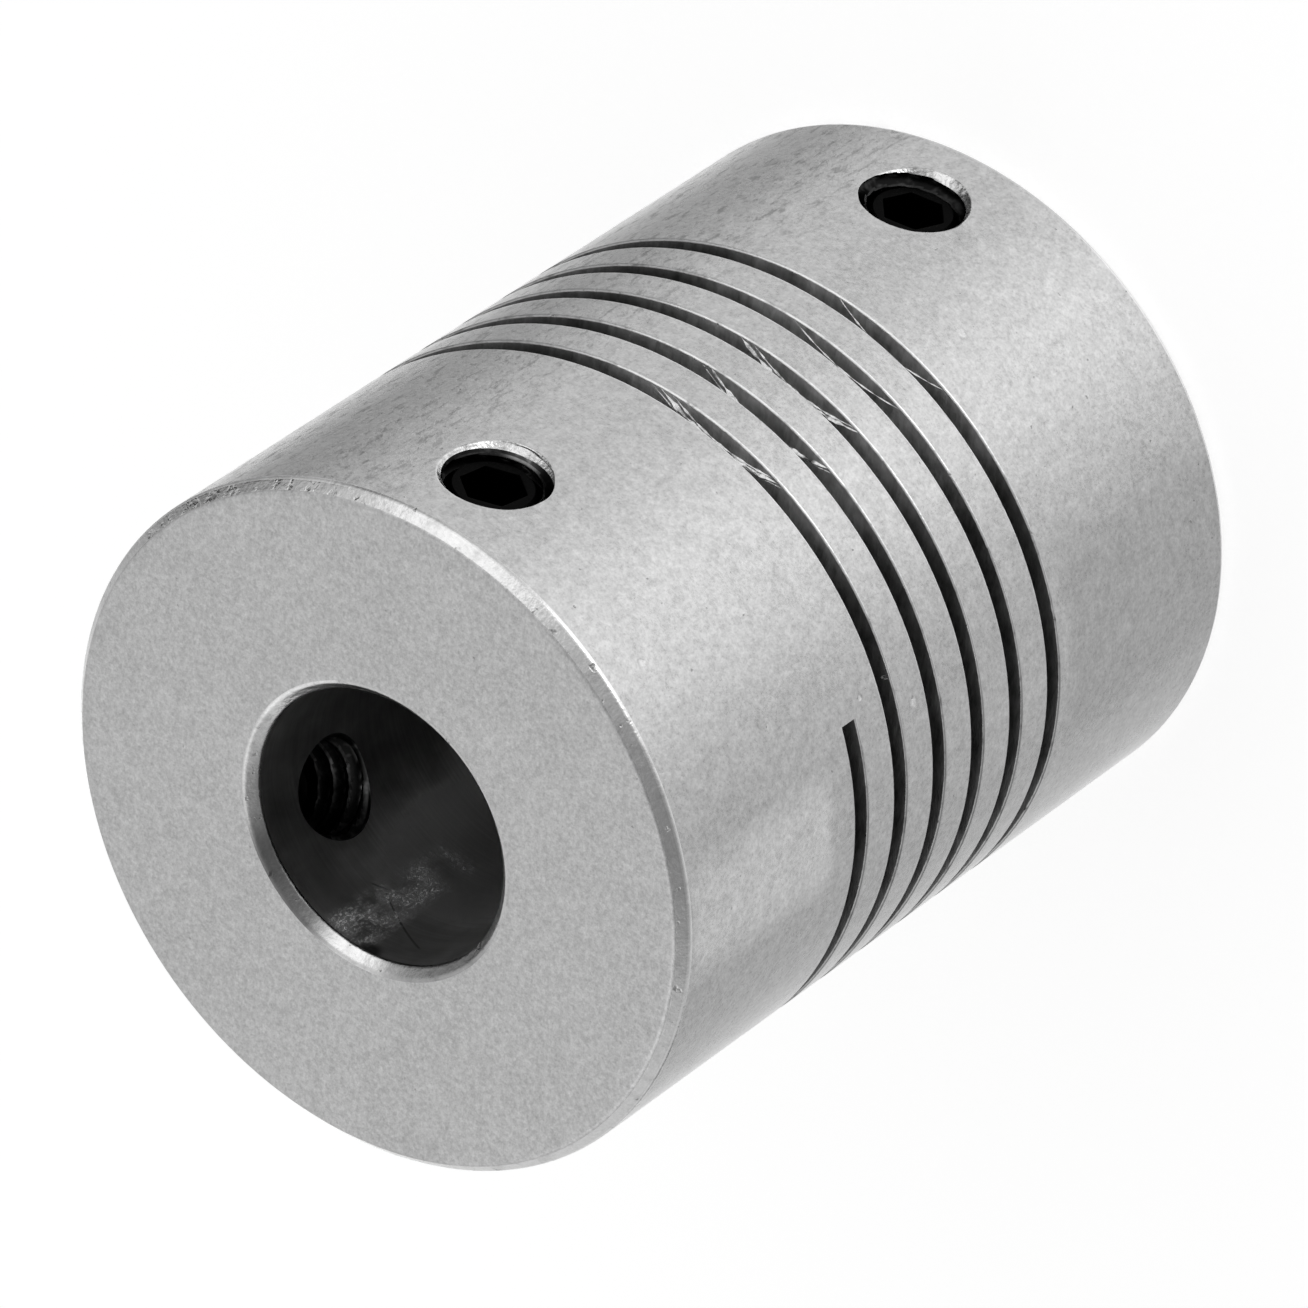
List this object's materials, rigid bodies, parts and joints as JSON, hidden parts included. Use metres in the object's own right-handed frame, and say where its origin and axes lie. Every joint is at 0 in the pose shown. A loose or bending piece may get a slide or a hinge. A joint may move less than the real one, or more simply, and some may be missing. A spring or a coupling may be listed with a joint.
{
  "type": "shaft coupling",
  "caption": "Flexible shaft coupling cut from one metal cylinder, with a through bore, a helical slit round the middle and black socket set screws in each hub.",
  "frame": {"origin": "centre of the lower end face, on the shaft axis", "axes": "+Z along the shaft axis to the upper hub, +X through the first set screw of each hub"},
  "size_m": [0.025, 0.025, 0.032],
  "materials": {
    "body": "satin machined aluminium, even fine grain",
    "set_screws": "black oxide, slightly oily"
  },
  "bodies": {
    "root": {"body": "body", "upper_set_screw_1": "set_screws", "upper_set_screw_2": "set_screws", "lower_set_screw_1": "set_screws", "lower_set_screw_2": "set_screws"}
  },
  "joints": []
}
